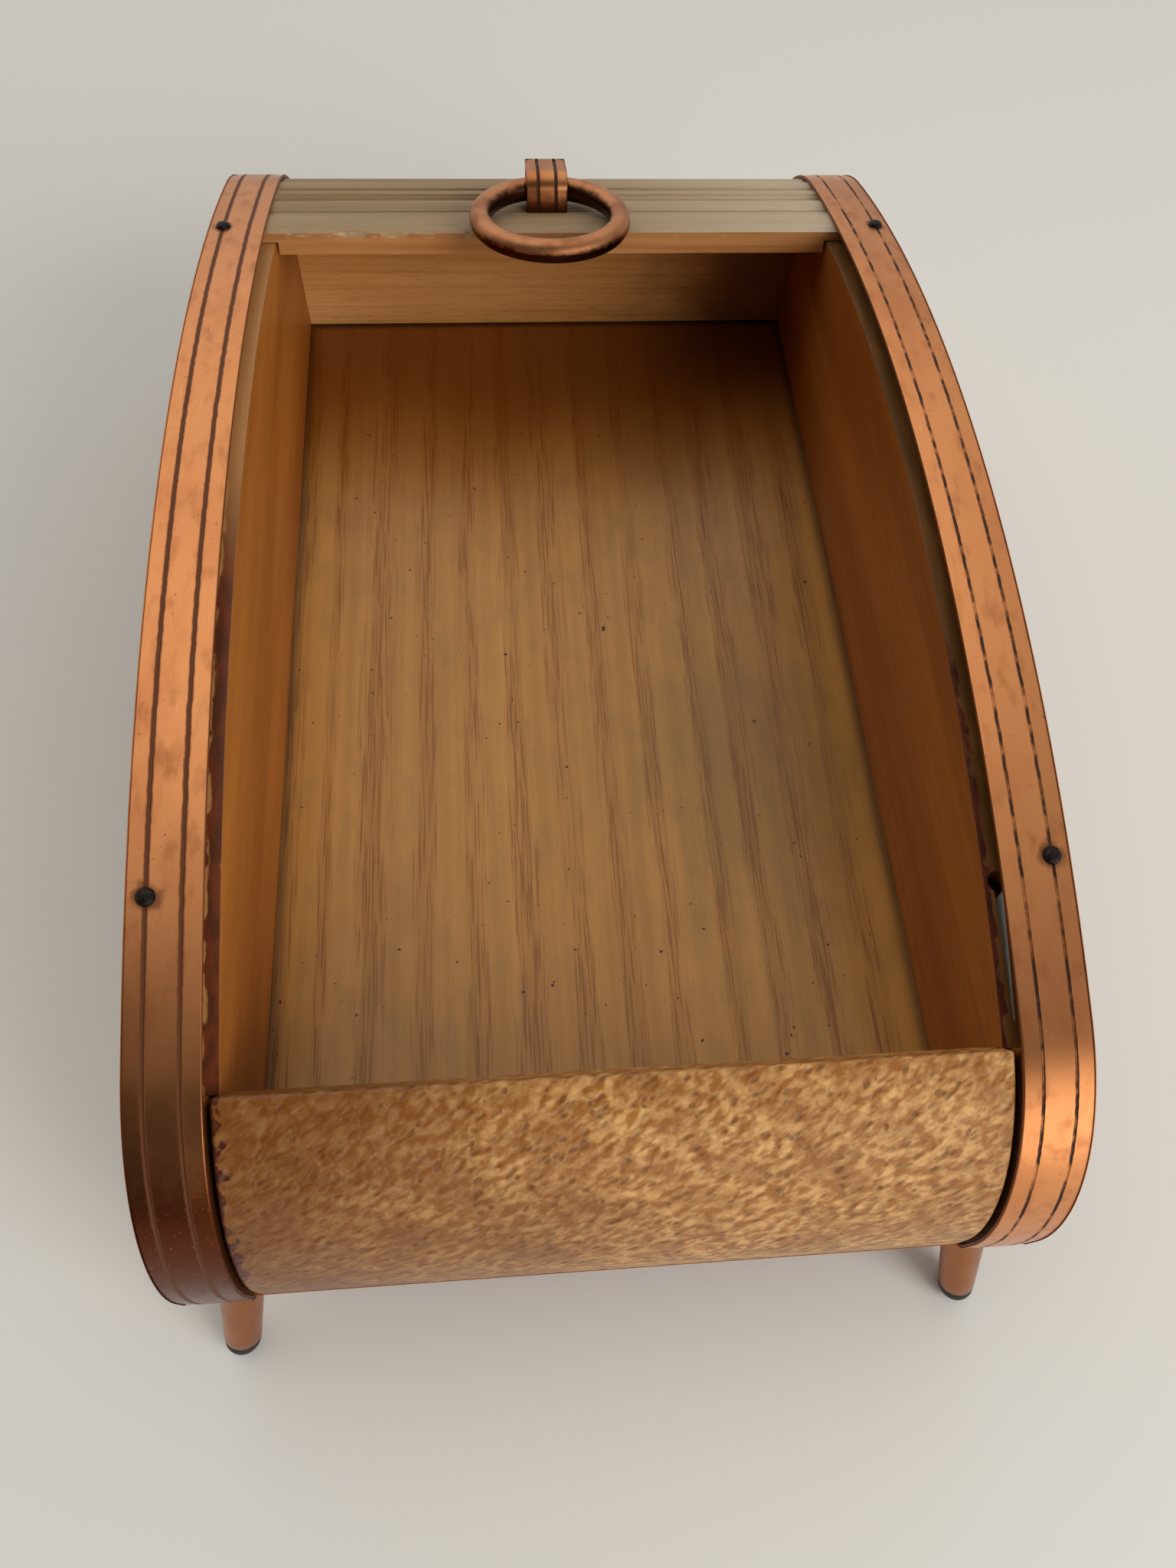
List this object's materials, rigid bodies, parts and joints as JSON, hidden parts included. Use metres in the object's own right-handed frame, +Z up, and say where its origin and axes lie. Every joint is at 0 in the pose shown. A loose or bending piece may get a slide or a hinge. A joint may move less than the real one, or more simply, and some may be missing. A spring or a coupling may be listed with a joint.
{
  "type": "tambour lid box",
  "caption": "Low arched wooden box whose slatted tambour lid slides back along curved side tracks, with copper bands over the sides, a ring pull on a strap and splayed copper feet.",
  "frame": {"origin": "on the ground, under the middle of the box", "axes": "+X to the right, +Y to the rear (the lid stores there), +Z up"},
  "size_m": [0.16, 0.2972, 0.1],
  "materials": {
    "side_wood": "oiled orange-brown hardwood, satin",
    "floor_wood": "open-grained light wood, waxed",
    "front_wood": "light flecked hardwood, satin lacquer",
    "slat_wood": "grey-brown wood, dull and worn at the edges",
    "copper": "copper with a brown patina, worn satin",
    "blackened_steel": "blackened, low gloss",
    "backing_cloth": "plain woven backing cloth",
    "black_rubber": "moulded, semi-matt"
  },
  "bodies": {
    "root": {"base_board": "side_wood", "side_board_left": "side_wood", "side_board_right": "side_wood", "inner_side_left": "side_wood", "inner_side_right": "side_wood", "inner_back": "side_wood", "rear_rail": "side_wood", "inner_floor": "floor_wood", "front_board": "front_wood", "band_left": "copper", "band_right": "copper", "foot_front_left": "copper", "foot_front_right": "copper", "foot_rear_left": "copper", "foot_rear_right": "copper", "band_nails": "blackened_steel", "track_nail": "blackened_steel", "slat_02": "slat_wood", "slat_03": "slat_wood", "slat_04": "slat_wood", "slat_05": "slat_wood", "slat_06": "slat_wood", "slat_07": "slat_wood", "slat_08": "slat_wood", "slat_09": "slat_wood", "slat_10": "slat_wood", "slat_11": "slat_wood", "slat_12": "slat_wood", "slat_13": "slat_wood", "slat_14": "slat_wood", "slat_15": "slat_wood", "slat_16": "slat_wood", "slat_17": "slat_wood", "slat_18": "slat_wood", "slat_19": "slat_wood", "slat_20": "slat_wood", "slat_21": "slat_wood", "slat_22": "slat_wood", "slat_23": "slat_wood", "slat_24": "slat_wood", "slat_25": "slat_wood", "slat_26": "slat_wood", "slat_27": "slat_wood", "slat_28": "slat_wood", "slat_29": "slat_wood", "slat_30": "slat_wood", "slats_tail": "slat_wood", "stored_cloth": "backing_cloth", "glide_front_left": "black_rubber", "glide_front_right": "black_rubber", "glide_rear_left": "black_rubber", "glide_rear_right": "black_rubber"},
    "lid": {"lead_slat": "slat_wood", "slat_01": "slat_wood", "lid_cloth": "backing_cloth", "pull_strap": "copper"},
    "ring": {"pull_ring": "copper"}
  },
  "joints": [
    {"name": "tambour_travel", "type": "hinge", "parent": "root", "child": "lid", "pos_m": [0, 0, -0.24432], "axis": [1, 0, 0], "range_deg": [0, 33.12]},
    {"name": "ring_swing", "type": "hinge", "parent": "lid", "child": "ring", "pos_m": [-0.0015, 0.09867, 0.08833], "axis": [-1, 0, 0], "range_deg": [0, 165]}
  ]
}
